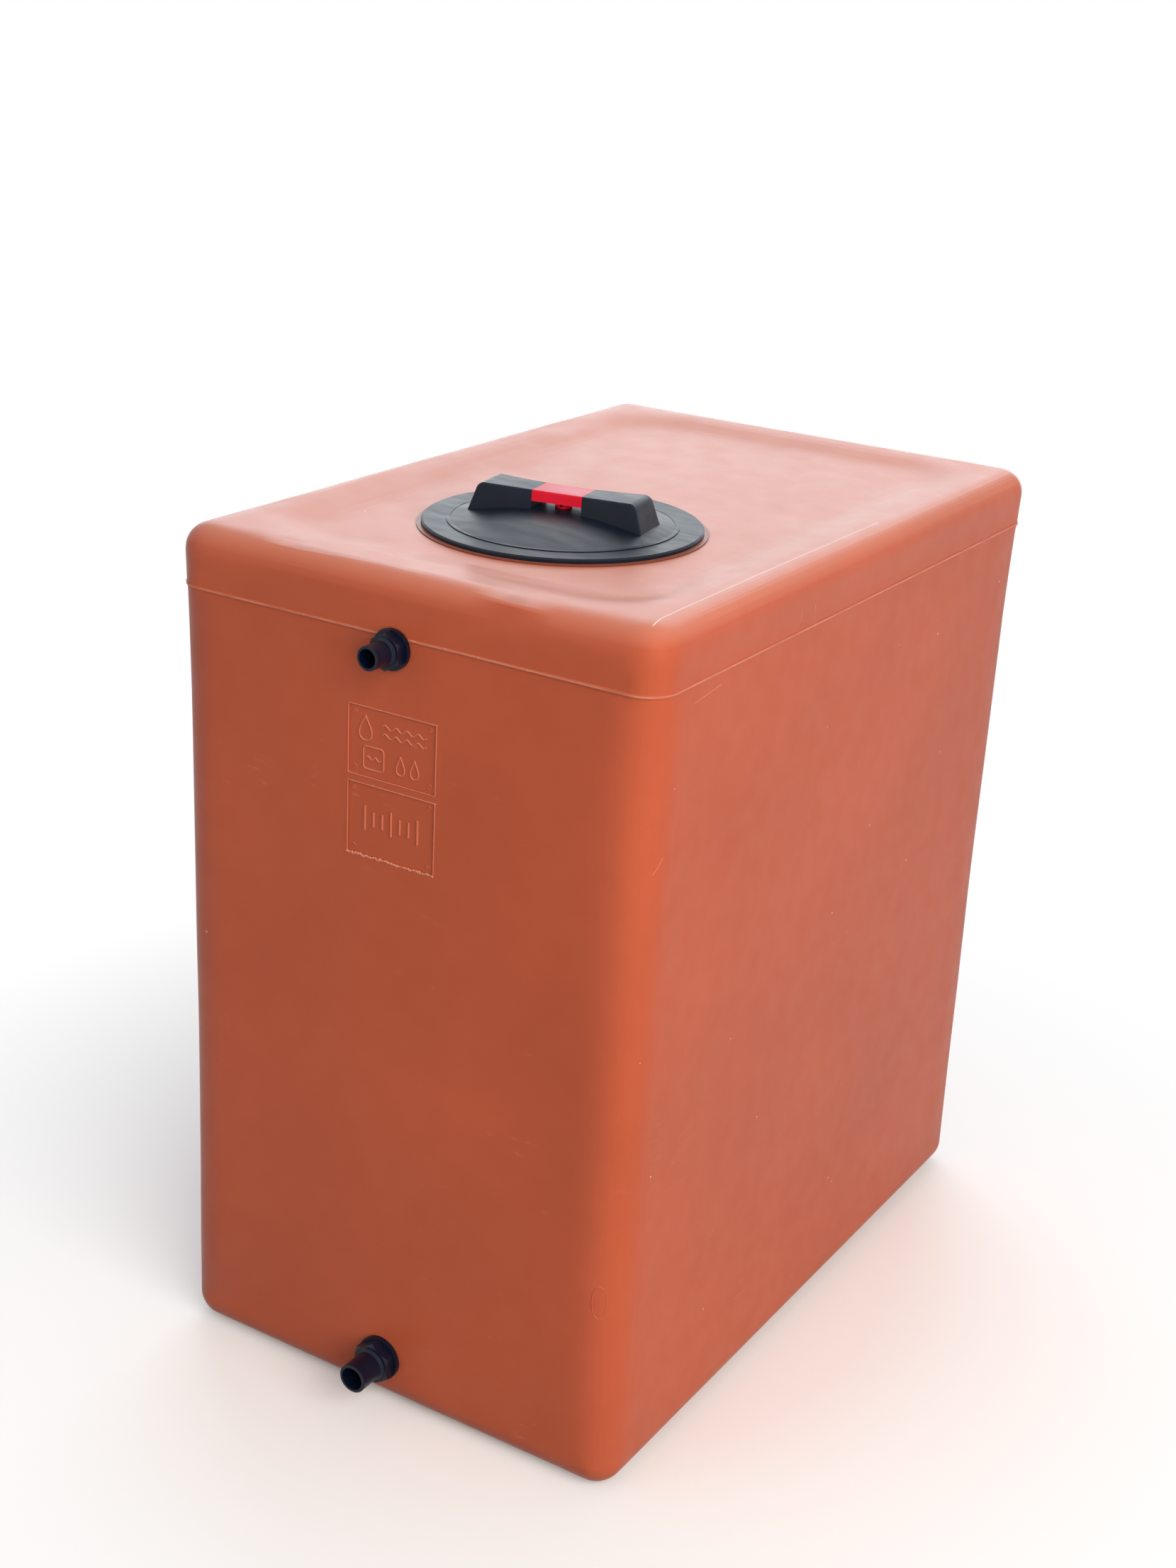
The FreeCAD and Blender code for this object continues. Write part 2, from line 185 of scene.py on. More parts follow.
def tank_plastic():
    """Rotomoulded polyethylene, fused from powder: waxy, slow waves from cooling, fine peel, pale scuffs,
    with a painted sheen on upward faces, painted highlights on the parting bead, crest and plate lips, and a
    painted shadow round the lid.
    """
    material, tree, shader = new_material("rotomoulded_polyethylene", roughness=0.42, ior=1.51, specular=0.22)
    place = add(tree, "ShaderNodeTexCoord").outputs["Object"]
    cloud = pattern(tree, place, grain=0.22, detail=2.0)
    mottle = pattern(tree, place, grain=0.028, detail=4.0)
    rubbed = pattern(tree, place, grain=0.006, detail=5.0, stretch=(0.3, 0.3, 1.0), turn=(0.5, 0.2, 0.3))
    streak = pattern(tree, place, grain=0.0035, detail=2.0, stretch=(1.0, 0.07, 0.9), turn=(0.35, 0, 0.1))
    up = add(tree, "ShaderNodeSeparateXYZ", {
        "Vector": add(tree, "ShaderNodeNewGeometry").outputs["Normal"]}).outputs["Z"]
    top = between(tree, up, 0.35, 1.0)
    patches = between(tree, pattern(tree, place, grain=0.16, detail=1.0), 0.54, 0.7)

    pigment = mixed(tree, between(tree, cloud, 0.3, 0.7, 0.0, 0.8), finish().terracotta,
                    hex_colour("C25C3E"))
    pigment = mixed(tree, between(tree, mottle, 0.35, 0.75, 0.0, 0.12), pigment, hex_colour("A04630"))
    scuffs = maths(tree, "MULTIPLY", between(tree, rubbed, 0.64, 0.76, 0.0, 0.2), patches)
    pigment = mixed(tree, scuffs, pigment, finish().pale_wear_and_sheen)
    scratches = maths(tree, "MULTIPLY", between(tree, streak, 0.74, 0.82, 0.0, 0.16), patches)
    pigment = mixed(tree, scratches, pigment, finish().pale_wear_and_sheen)
    # Upward faces are mixed towards the pale colour: a painted sheen, where the sky would reflect on the top.
    pigment = mixed(tree, between(tree, top, 0.0, 1.0, 0.0, 0.55), pigment, finish().pale_wear_and_sheen)
    height = add(tree, "ShaderNodeSeparateXYZ", {"Vector": place}).outputs["Z"]
    # A paler band painted on the parting bead: a painted highlight along its edge, broken by the mottle.
    from_parting = maths(tree, "ABSOLUTE", maths(tree, "SUBTRACT", height, PARTING_Z), 0.0)
    parting_highlight = maths(tree, "MULTIPLY", between(tree, from_parting, 0.6 * MM, 1.15 * MM, 0.6, 0.0),
                  between(tree, mottle, 0.35, 0.6, 0.45, 1.0))
    # Each piece carries a paleness: wear on scratches and burrs, and a painted highlight on the rim crest and
    # the plate lips.
    worn = add(tree, "ShaderNodeAttribute", attribute_name="worn").outputs["Fac"]
    pigment = mixed(tree, maths(tree, "MAXIMUM", parting_highlight, worn), pigment, finish().pale_wear_and_sheen)
    # The highest values turn near white: the whitened burrs and the painted highlight of the crest.
    pigment = mixed(tree, between(tree, worn, 0.8, 1.0), pigment, hex_colour("F2CFC4"))

    # Painted shadow: a dark ring on the top just outside the lid's rim, where the rim shades the seat.
    from_lid = add(tree, "ShaderNodeVectorMath", {
        0: place, 1: (*lid_axis.xy, seat_z)}, operation="DISTANCE").outputs["Value"]
    shade_under_rim = between(tree, maths(tree, "ABSOLUTE", maths(tree, "SUBTRACT", from_lid, SEAT_R), 0.0),
                    1.2 * MM, 3.2 * MM, 0.7, 0.0)
    pigment = mixed(tree, shade_under_rim, pigment, hex_colour("5A2E22"))

    flecks = add(tree, "ShaderNodeTexVoronoi", {"Vector": place, "Scale": 1 / 0.042, "Randomness": 1.0})
    fleck = between(tree, flecks.outputs["Distance"], 0.022, 0.034, 0.75, 0.0)
    picked = between(tree, add(tree, "ShaderNodeSeparateColor", {
        "Color": flecks.outputs["Color"]}).outputs["Red"], 0.72, 0.74)
    fleck = maths(tree, "MULTIPLY", fleck, picked)
    pigment = mixed(tree, fleck, pigment, hex_colour("EBB7A2"))
    tree.links.new(pigment, shader.inputs["Base Color"])

    gloss = between(tree, mottle, 0.3, 0.7, 0.39, 0.45)
    polish = between(tree, height, PARTING_Z, PARTING_Z + 0.02, 0.0, 0.06)
    tree.links.new(maths(tree, "SUBTRACT", gloss, polish), shader.inputs["Roughness"])
    slow = pattern(tree, place, grain=0.09, detail=1.0)
    peel = pattern(tree, place, grain=0.0045, detail=2.0)
    normal = bumped(tree, slow, 0.4 * MM)
    normal = bumped(tree, peel, 0.05 * MM, normal)
    normal = bumped(tree, scratches, -0.2 * MM, normal)
    tree.links.new(normal, shader.inputs["Normal"])
    return material


def moulded_plastic(name, colour, film_hex, roughness):
    """Injection-moulded polypropylene: spark-eroded grain, faint flow marks and a film of dust and wipes."""
    film = hex_colour(film_hex)
    material, tree, shader = new_material(name, roughness, ior=1.49, specular=0.26)
    place = add(tree, "ShaderNodeTexCoord").outputs["Object"]
    grain = pattern(tree, place, grain=0.0012, detail=2.0)
    flow = pattern(tree, place, grain=0.012, detail=3.0, stretch=(0.25, 1.0, 1.0), turn=(0, 0, 0.5))
    wiped = pattern(tree, place, grain=0.03, detail=4.0)
    body = mixed(tree, between(tree, wiped, 0.4, 0.75, 0.0, 0.35), colour, film)
    body = mixed(tree, between(tree, flow, 0.6, 0.8, 0.0, 0.3), body, film)
    tree.links.new(body, shader.inputs["Base Color"])
    gloss = between(tree, flow, 0.3, 0.7, roughness - 0.05, roughness + 0.08)
    tree.links.new(gloss, shader.inputs["Roughness"])
    normal = bumped(tree, grain, 0.04 * MM)
    normal = bumped(tree, flow, 0.08 * MM, normal)
    tree.links.new(normal, shader.inputs["Normal"])
    return material


def seal_rubber():
    """Compression-moulded EPDM: dull black with a bloom of pale powder."""
    material, tree, shader = new_material("epdm_rubber", roughness=0.75, ior=1.52, specular=0.3)
    place = add(tree, "ShaderNodeTexCoord").outputs["Object"]
    bloom = pattern(tree, place, grain=0.008, detail=4.0)
    powder = between(tree, bloom, 0.45, 0.8, 0.0, 0.3)
    colour = mixed(tree, powder, finish().rubber_black, hex_colour("3A3B3F"))
    tree.links.new(colour, shader.inputs["Base Color"])
    tree.links.new(bumped(tree, pattern(tree, place, grain=0.0015), 0.05 * MM), shader.inputs["Normal"])
    return material


MAKERS = {
    "tank_plastic": tank_plastic,
    "lid_plastic": lambda: moulded_plastic("lid_polypropylene", finish().lid_black, "1C2633", 0.40),
    "vent_plastic": lambda: moulded_plastic("vent_polypropylene", finish().vent_red, "E0203C", 0.36),
    "fitting_plastic": lambda: moulded_plastic(
        "fitting_polypropylene", finish().fitting_black, "151A26", 0.36),
    "seal_rubber": seal_rubber,
}
finishes = {}


def finish_of(slot):
    if slot not in finishes:
        finishes[slot] = MAKERS[slot]()
    return finishes[slot]


SLOT_OF = {part["node"]: part["material_slot"] for part in frame["record"]["subparts"]}
BODY_OF = {node: body for body, members in frame["record"]["behaviour"]["bodies"].items() for node in members}


def as_piece(name, mesh, body, slot):
    """Object at the origin that rides on a body and takes one slot's finish."""
    piece = bpy.data.objects.new(name, mesh)
    bpy.context.scene.collection.objects.link(piece)
    mesh.materials.clear()
    mesh.materials.append(finish_of(slot))
    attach(piece, body)
    return piece


def merged_form(node):
    """bmesh of a CAD node with its loose triangles joined."""
    form = bmesh.new()
    form.from_mesh(nodes[node].data)
    bmesh.ops.remove_doubles(form, verts=form.verts, dist=0.01 * MM)
    return form


def cut_in_slices(form, low, high, step):
    """Cuts a form by planes step apart along each axis, and by closer ones beside its corners."""
    for axis in range(3):
        across = Vector([float(i == axis) for i in range(3)])
        count = int((high[axis] - low[axis]) / step)
        places = [low[axis] + index * step for index in range(1, count + 1)]
        if axis < 2:
            places += corner_cuts(high[axis])
        for place in (across * distance for distance in places):
            bmesh.ops.bisect_plane(
                form, geom=form.verts[:] + form.edges[:] + form.faces[:], dist=0.01 * MM,
                plane_co=place, plane_no=across)


def evaluated_mesh(obj):
    graph = bpy.context.evaluated_depsgraph_get()
    return bpy.data.meshes.new_from_object(obj.evaluated_get(graph))


def smoothed(form, name, crease, edge=0.0):
    """Mesh shaded smooth up to the crease angle, with its sharper edges rounded by edge metres."""
    mesh = bpy.data.meshes.new(name)
    form.to_mesh(mesh)
    form.free()
    for layer in ("custom_normal", "sharp_face"):
        if layer in mesh.attributes:
            mesh.attributes.remove(mesh.attributes[layer])
    mesh.polygons.foreach_set("use_smooth", [True] * len(mesh.polygons))
    mesh.set_sharp_from_angle(angle=crease)
    holder = bpy.data.objects.new(name + "_holder", mesh)
    bpy.context.scene.collection.objects.link(holder)
    if edge:
        rounding = holder.modifiers.new("rounding", "BEVEL")
        rounding.width = edge
        rounding.segments = 2
        rounding.limit_method = "ANGLE"
        rounding.angle_limit = crease
        rounding.use_clamp_overlap = True
    weighting = holder.modifiers.new("weighting", "WEIGHTED_NORMAL")
    weighting.keep_sharp = True
    result = evaluated_mesh(holder)
    bpy.data.objects.remove(holder)
    return result


def dressed(node, crease=math.radians(32), edge=0.0):
    """Smooth copy of a CAD node that stands for it."""
    mesh = smoothed(merged_form(node), node + "_skin", crease, edge)
    piece = as_piece(node + "_skin", mesh, BODY_OF[node], SLOT_OF[node])
    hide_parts(node)
    return piece


# Finished skins over the CAD solids

FITTING_X = -7.8 * MM
PLATE_HALF = 47 * MM
PLATES_MIDDLE_Z = 0.636
PLATES_REACH = 0.07
SLICE = 0.045
CORNER_SPREAD = 17 * MM
RIM_SPREAD = 9 * MM
tail_heights = [(low[2] + high[2]) / 2 for low, high in (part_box(side + "_hose_tail") for side in SIDES)]


def fade(distance, near, far):
    """Nought up to near, one from far on, smooth between."""
    share = min(max((distance - near) / (far - near), 0), 1)
    return share * share * (3 - 2 * share)


def wall_freedom(point):
    """Share of the wave that a point of the shell takes: none near neck, fittings, plates and base."""
    from_lid = (Vector((point.x, point.y, 0)) - lid_axis).length
    share = fade(point.z, 0.03, 0.10) * max(fade(from_lid, 0.15, 0.20), fade(seat_z - point.z, 0.03, 0.05))
    if point.y < shell_low[1] / 2:
        for axis_z in tail_heights:
            share *= fade(math.hypot(point.x - FITTING_X, point.z - axis_z), 0.035, 0.08)
        beyond = max(abs(point.x - FITTING_X) - PLATE_HALF, abs(point.z - PLATES_MIDDLE_Z) - PLATES_REACH)
        share *= fade(beyond, 0.01, 0.06)
    return share


def corner_cuts(half):
    """Where the flat walls are cut beside the rounded corners, to carry the soft shading there."""
    return [side * (half - distance) for side in (-1, 1) for distance in (0.036, 0.046, 0.058, 0.074)]


def softened_normals(mesh):
    """Corner normals with those of the upright corners and the front rim blurred, as fused powder sets."""
    tree = kdtree.KDTree(len(mesh.polygons))
    for face in mesh.polygons:
        tree.insert(face.center, face.index)
    tree.balance()
    normals = [Vector(entry.vector) for entry in mesh.corner_normals]
    soft = {}
    for vert in mesh.vertices:
        point = vert.co
        upright = 0.035 < point.z < PARTING_Z - 3 * MM
        at_corner = upright and abs(point.x) > shell_high[0] - 0.08 and abs(point.y) > shell_high[1] - 0.08
        at_rim = point.z > PARTING_Z + 0.02 and (point.y < lid_axis.y - 0.16 or point.x < -0.15)
        if (at_corner or at_rim) and vert.normal.dot(point - shell_centre) > 0:
            spread = CORNER_SPREAD if at_corner else RIM_SPREAD
            total = Vector()
            for _, index, distance in tree.find_range(point, 2.2 * spread):
                face = mesh.polygons[index]
                if face.normal.dot(vert.normal) > 0.1:
                    total += face.normal * face.area * math.exp(-0.5 * (distance / spread) ** 2)
            if total.length > 0:
                soft[vert.index] = total.normalized()
    for loop in mesh.loops:
        if loop.vertex_index in soft:
            normals[loop.index] = soft[loop.vertex_index]
    return normals


class TANK_OT_shell(bpy.types.Operator):
    """Gives the moulded body its slow waves, as real form, and its smooth finish"""
    bl_idname = "tank.shell"
    bl_label = "Tank shell"

    def execute(self, context):
        form = merged_form(SHELL)
        cut_in_slices(form, shell_low, shell_high, SLICE)
        form.normal_update()
        drift = []
        for vert in form.verts:
            outward = vert.normal.dot(vert.co - shell_centre) > 0
            wave = noise.fractal(vert.co / 0.21, 0.6, 2.0, 2) if outward else 0.0
            drift.append(wave * wall_freedom(vert.co) * sizes().wall_wave)
        for vert, step in zip(form.verts, drift):
            vert.co += vert.normal * step
        mesh = smoothed(form, "tank_skin", math.radians(40))
        mesh.normals_split_custom_set(softened_normals(mesh))
        piece = as_piece("tank_skin", mesh, TANK_BODY, "tank_plastic")
        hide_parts(SHELL)
        return {"FINISHED"}


def full_turn(count):
    """Angles of one turn in equal steps."""
    return [2 * math.pi * i / count for i in range(count)]


LIP_R = 1.1 * MM
LIP_GAP = 0.3 * MM
LIP_RING_R = 129.8 * MM


class TANK_OT_lid(bpy.types.Operator):
    """Finishes the screw lid with its turned-down lip, its vent cap and its gasket"""
    bl_idname = "tank.lid"
    bl_label = "Screw lid"

    def execute(self, context):
        dressed("screw_lid", edge=0.6 * MM)
        dressed("vent_cap", edge=0.4 * MM)
        dressed("lid_gasket")
        middle = lid_axis + Vector((0, 0, seat_z + LIP_GAP + LIP_R))
        circle = [middle + LIP_RING_R * Vector((math.cos(t), math.sin(t), 0)) for t in full_turn(96)]
        grown("lid_lip", ridge_tree(), LID_BODY, "lid_plastic", lines_mesh("lid_lip_line", [(circle, True)]),
              Radius=LIP_R)
        return {"FINISHED"}


class TANK_OT_fittings(bpy.types.Operator):
    """Finishes the hose tails with their washers and backnuts"""
    bl_idname = "tank.fittings"
    bl_label = "Hose fittings"

    def execute(self, context):
        for side in SIDES:
            dressed(side + "_hose_tail", edge=0.5 * MM)
            dressed(side + "_backnut", edge=0.4 * MM)
            dressed(side + "_outer_washer")
            dressed(side + "_inner_washer")
        return {"FINISHED"}


# Geometry Nodes trees for what repeats or follows a path


def new_tree(name, takes_mesh, **sockets):
    """Geometry tree with named inputs; returns it with its input and output nodes."""
    tree = bpy.data.node_groups.new(name, "GeometryNodeTree")
    if takes_mesh:
        tree.interface.new_socket(name="Geometry", in_out="INPUT", socket_type="NodeSocketGeometry")
    for socket, kind in sockets.items():
        tree.interface.new_socket(
            name=socket.replace("_", " "), in_out="INPUT", socket_type="NodeSocket" + kind)
    tree.interface.new_socket(name="Geometry", in_out="OUTPUT", socket_type="NodeSocketGeometry")
    given = tree.nodes.new("NodeGroupInput").outputs
    result = tree.nodes.new("NodeGroupOutput").inputs["Geometry"]
    return tree, given, result


def close_tree(tree, given, result, geometry):
    """Ends a tree as the export needs it: real mesh and its material."""
    real = add(tree, "GeometryNodeRealizeInstances", {"Geometry": geometry}).outputs["Geometry"]
    coloured = add(tree, "GeometryNodeSetMaterial", {"Geometry": real, "Material": given["Material"]})
    tree.links.new(coloured.outputs["Geometry"], result)
    return tree


def vector_of(tree, x=0.0, y=0.0, z=0.0):
    return add(tree, "ShaderNodeCombineXYZ", {"X": x, "Y": y, "Z": z}).outputs["Vector"]


def thread_tree():
    """Right-hand thread: a trapezium swept along a helix, fading out towards both its ends."""
    tree, given, result = new_tree(
        "helical_thread", False, Radius="Float", Pitch="Float", Turns="Float", Depth="Float",
        Foot="Float", Crest="Float", Facing="Float", Place="Vector", Tilt="Rotation", Material="Material")
    helix = add(tree, "GeometryNodeCurveSpiral", {
        "Resolution": 72, "Rotations": given["Turns"], "Start Radius": given["Radius"],
        "End Radius": given["Radius"], "Height": maths(tree, "MULTIPLY", given["Pitch"], given["Turns"]),
        "Reverse": True})
    upright = add(tree, "GeometryNodeSetCurveNormal", {"Curve": helix.outputs["Curve"]}, mode="Z_UP")
    profile = add(tree, "GeometryNodeCurvePrimitiveQuadrilateral", {
        "Bottom Width": given["Foot"], "Top Width": given["Crest"], "Height": given["Depth"], "Offset": 0.0},
        mode="TRAPEZOID")
    stood = add(tree, "GeometryNodeTransform", {
        "Geometry": profile.outputs["Curve"],
        "Translation": vector_of(tree, y=maths(tree, "MULTIPLY", given["Depth"], 0.5))})
    faced = add(tree, "GeometryNodeTransform", {
        "Geometry": stood.outputs["Geometry"], "Rotation": vector_of(tree, z=given["Facing"])})
    along = add(tree, "GeometryNodeSplineParameter").outputs["Factor"]
    back = maths(tree, "SUBTRACT", 1.0, along)
    rise = maths(tree, "MULTIPLY", maths(tree, "MINIMUM", along, back), 9.0)
    swell = maths(tree, "MINIMUM", maths(tree, "MAXIMUM", rise, 0.12), 1.0)
    swept = add(tree, "GeometryNodeCurveToMesh", {
        "Curve": upright.outputs["Curve"], "Profile Curve": faced.outputs["Geometry"],
        "Scale": swell, "Fill Caps": True})
    placed = add(tree, "GeometryNodeTransform", {
        "Geometry": swept.outputs["Mesh"], "Translation": given["Place"], "Rotation": given["Tilt"]})
    return close_tree(tree, given, result, placed.outputs["Geometry"])


def ridge_tree():
    """Moulded ridge: a round section along every line of the given mesh, half sunk in what it lies on."""
    tree, given, result = new_tree("moulded_ridge", True, Radius="Float", Material="Material")
    lines = add(tree, "GeometryNodeMeshToCurve", {"Mesh": given["Geometry"]})
    section = add(tree, "GeometryNodeCurvePrimitiveCircle", {"Resolution": 10, "Radius": given["Radius"]})
    swept = add(tree, "GeometryNodeCurveToMesh", {
        "Curve": lines.outputs["Curve"], "Profile Curve": section.outputs["Curve"], "Fill Caps": True})
    return close_tree(tree, given, result, swept.outputs["Mesh"])


def nib_tree():
    """Burrs left where the mould shuts: small uneven lumps scattered along the given lines."""
    tree, given, result = new_tree(
        "mould_nibs", True, Count="Int", Share="Float", Smallest="Vector", Largest="Vector",
        Scatter="Vector", Seed="Int", Material="Material")
    lines = add(tree, "GeometryNodeMeshToCurve", {"Mesh": given["Geometry"]})
    points = add(tree, "GeometryNodeCurveToPoints", {
        "Curve": lines.outputs["Curve"], "Count": given["Count"]}, mode="COUNT")
    opposite = add(tree, "ShaderNodeVectorMath", {0: given["Scatter"], 1: (-1, -1, -1)},
                   operation="MULTIPLY").outputs["Vector"]
    shift = add(tree, "FunctionNodeRandomValue", {
        0: opposite, 1: given["Scatter"], "Seed": given["Seed"]}, data_type="FLOAT_VECTOR")
    moved = add(tree, "GeometryNodeSetPosition", {
        "Geometry": points.outputs["Points"], "Offset": shift.outputs[0]})
    size = add(tree, "FunctionNodeRandomValue", {
        0: given["Smallest"], 1: given["Largest"], "Seed": maths(tree, "ADD", given["Seed"], 1)},
        data_type="FLOAT_VECTOR")
    kept = add(tree, "FunctionNodeRandomValue", {
        "Probability": given["Share"], "Seed": maths(tree, "ADD", given["Seed"], 2)}, data_type="BOOLEAN")
    lump = add(tree, "GeometryNodeMeshIcoSphere", {"Radius": 1.0, "Subdivisions": 2})
    lumps = add(tree, "GeometryNodeInstanceOnPoints", {
        "Points": moved.outputs["Geometry"], "Selection": kept.outputs[3],
        "Instance": lump.outputs["Mesh"], "Rotation": points.outputs["Rotation"],
        "Scale": size.outputs[0]})
    return close_tree(tree, given, result, lumps.outputs["Instances"])


def screw_mark_tree():
    """Imprint of a slotted screw head, a low ring with a bar across, on each point of the given mesh."""
    tree, given, result = new_tree(
        "screw_marks", True, Radius="Float", Line="Float", Seed="Int", Material="Material")
    circle = add(tree, "GeometryNodeCurvePrimitiveCircle", {"Resolution": 20, "Radius": given["Radius"]})
    section = add(tree, "GeometryNodeCurvePrimitiveCircle", {"Resolution": 8, "Radius": given["Line"]})
    rim = add(tree, "GeometryNodeCurveToMesh", {
        "Curve": circle.outputs["Curve"], "Profile Curve": section.outputs["Curve"]})
    reach = vector_of(tree, x=given["Radius"])
    bar_line = add(tree, "GeometryNodeCurvePrimitiveLine", {
        "Start": add(tree, "ShaderNodeVectorMath", {0: reach, 1: (-1, -1, -1)},
                     operation="MULTIPLY").outputs["Vector"],
        "End": reach})
    bar = add(tree, "GeometryNodeCurveToMesh", {
        "Curve": bar_line.outputs["Curve"], "Profile Curve": section.outputs["Curve"], "Fill Caps": True})
    mark = add(tree, "GeometryNodeJoinGeometry")
    for part in (rim, bar):
        tree.links.new(part.outputs["Mesh"], mark.inputs["Geometry"])
    spin = add(tree, "FunctionNodeRandomValue", {
        2: 0.0, 3: math.pi, "Seed": given["Seed"]}, data_type="FLOAT")
    turn = add(tree, "ShaderNodeCombineXYZ", {"X": math.pi / 2, "Y": spin.outputs[1]})
    marks = add(tree, "GeometryNodeInstanceOnPoints", {
        "Points": given["Geometry"], "Instance": mark.outputs["Geometry"],
        "Rotation": turn.outputs["Vector"]})
    return close_tree(tree, given, result, marks.outputs["Instances"])


def grown(name, tree, body, slot, source=None, worn=0.0, **values):
    """Runs a tree on a mesh, with its inputs set by name, and keeps the result as one plain piece."""
    holder = bpy.data.objects.new(name + "_holder", source or bpy.data.meshes.new(name + "_lines"))
    bpy.context.scene.collection.objects.link(holder)
    modifier = holder.modifiers.new(name, "NODES")
    modifier.node_group = tree
    named = {item.name: item.identifier for item in tree.interface.items_tree if item.in_out == "INPUT"}
    for key, value in values.items():
        modifier[named[key.replace("_", " ")]] = value
    modifier[named["Material"]] = finish_of(slot)
    mesh = evaluated_mesh(holder)
    bpy.data.objects.remove(holder)
    mesh.name = name
    mesh.polygons.foreach_set("use_smooth", [True] * len(mesh.polygons))
    mesh.set_sharp_from_angle(angle=math.radians(50))
    paleness = mesh.attributes.new("worn", "FLOAT", "POINT")
    paleness.data.foreach_set("value", [worn] * len(mesh.vertices))
    return as_piece(name, mesh, body, slot)


def lines_mesh(name, lines):
    """Mesh of open or closed lines: each is a list of points and whether it closes."""
    mesh = bpy.data.meshes.new(name)
    points, edges = [], []
    for line, closed in lines:
        start = len(points)
        points += [tuple(point) for point in line]
        edges += [(start + i, start + i + 1) for i in range(len(line) - 1)]
        if closed:
            edges.append((len(points) - 1, start))
    mesh.from_pydata(points, edges, [])
    return mesh


def on_tank(name, tree, lines, **values):
    """Runs a tree on lines and keeps the result on the tank."""
    return grown(name, tree, TANK_BODY, "tank_plastic", lines_mesh(name + "_lines", lines), **values)


# Threads

THREAD_DEPTH = 3.0 * MM
THREAD_FOOT = 4.8 * MM
THREAD_CREST = 2.0 * MM
THREAD_SINK = 0.4 * MM
NECK_BORE_R = 106.6 * MM
SKIRT_R = 103.0 * MM
LID_THREAD_TURNS = 1.3
NECK_THREAD_TURNS = 1.4
LID_THREAD_START = 3.0 * MM
FLANK_OFFSET = 3.3 * MM
SHANK_R = {"upper": 13.2 * MM, "lower": 16.6 * MM}
SHANK_PITCH = 1.8 * MM
SHANK_THREAD_SINK = 0.1 * MM


class TANK_OT_threads(bpy.types.Operator):
    """Adds the coarse thread of lid and neck and the pipe thread on the ends of the shanks"""
    bl_idname = "tank.threads"
    bl_label = "Threads"

    def execute(self, context):
        tree = thread_tree()
        start_z = skirt_foot_z + LID_THREAD_START
        shared = {"Pitch": sizes().thread_pitch, "Depth": THREAD_DEPTH + THREAD_SINK,
                  "Foot": THREAD_FOOT, "Crest": THREAD_CREST}
        grown("lid_thread", tree, LID_BODY, "lid_plastic", Radius=SKIRT_R - THREAD_SINK,
              Turns=LID_THREAD_TURNS, Facing=-math.pi / 2, Place=(*lid_axis.xy, start_z), **shared)
        grown("neck_thread", tree, TANK_BODY, "tank_plastic", Radius=NECK_BORE_R + THREAD_SINK,
              Turns=NECK_THREAD_TURNS, Facing=math.pi / 2, Place=(*lid_axis.xy, start_z + FLANK_OFFSET),
              **shared)
        for side in SIDES:
            nut_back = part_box(side + "_backnut")[1][1]
            tail_low, tail_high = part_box(side + "_hose_tail")
            bare = tail_high[1] - nut_back - SHANK_PITCH
            place = ((tail_low[0] + tail_high[0]) / 2, tail_high[1] - SHANK_PITCH / 2,
                     (tail_low[2] + tail_high[2]) / 2)
            grown(side + "_shank_thread", tree, TANK_BODY, "fitting_plastic", Pitch=SHANK_PITCH,
                  Turns=bare / SHANK_PITCH, Depth=0.9 * MM, Foot=1.5 * MM, Crest=0.4 * MM,
                  Radius=SHANK_R[side] - SHANK_THREAD_SINK, Facing=-math.pi / 2, Place=place,
                  Tilt=(math.pi / 2, 0, 0))
        return {"FINISHED"}


# Marks on the front wall

FLASH_PROUD = 1.3 * MM
PLATE_RECESS = 1.2 * MM
UPPER_PLATE = (0.641, 0.7055)
LOWER_PLATE = (0.566, 0.634)
SCREW_INSET = 6.5 * MM
BAR_STEP = 0.0095
LONG_BAR_HALF = 0.0115
SHORT_BAR_HALF = 0.007
BARS_V = 0.002
PARTING_CORNER_R = 29 * MM


def on_plate(plate, u, v):
    """Point on a plate's floor, u to the right and v up from its middle."""
    return Vector((FITTING_X + u, shell_low[1] + FLASH_PROUD + PLATE_RECESS, sum(plate) / 2 + v))


def wave_line(plate, u0, u1, v, height, waves):
    """Wavy line from u0 to u1 about v."""
    steps = 12 * waves
    points = []
    for i in range(steps + 1):
        rise = height * math.sin(2 * math.pi * waves * i / steps)
        points.append(on_plate(plate, u0 + (u1 - u0) * i / steps, v + rise))
    return points, False


def drop_line(plate, u, v, half_width, half_height):
    """Outline of a water drop with its point up."""
    return [on_plate(plate, u + 1.3 * half_width * math.sin(t) * math.sin(t / 2) ** 1.5,
                     v + half_height * math.cos(t)) for t in full_turn(40)], True


def rounded_rectangle(half_a, half_b, corner, steps):
    """Pairs of coordinates round a rectangle, with that many steps in the arc at each corner."""
    pairs = []
    for quarter in range(4):
        a = (half_a - corner) * (1, -1, -1, 1)[quarter]
        b = (half_b - corner) * (1, 1, -1, -1)[quarter]
        for k in range(steps + 1):
            t = math.pi / 2 * (quarter + k / steps)
            pairs.append((a + corner * math.cos(t), b + corner * math.sin(t)))
    return pairs


def frame_line(plate, u, v, half_width, half_height, corner):
    """Rounded rectangle on a plate."""
    pairs = rounded_rectangle(half_width, half_height, corner, 5)
    return [on_plate(plate, u + a, v + b) for a, b in pairs], True


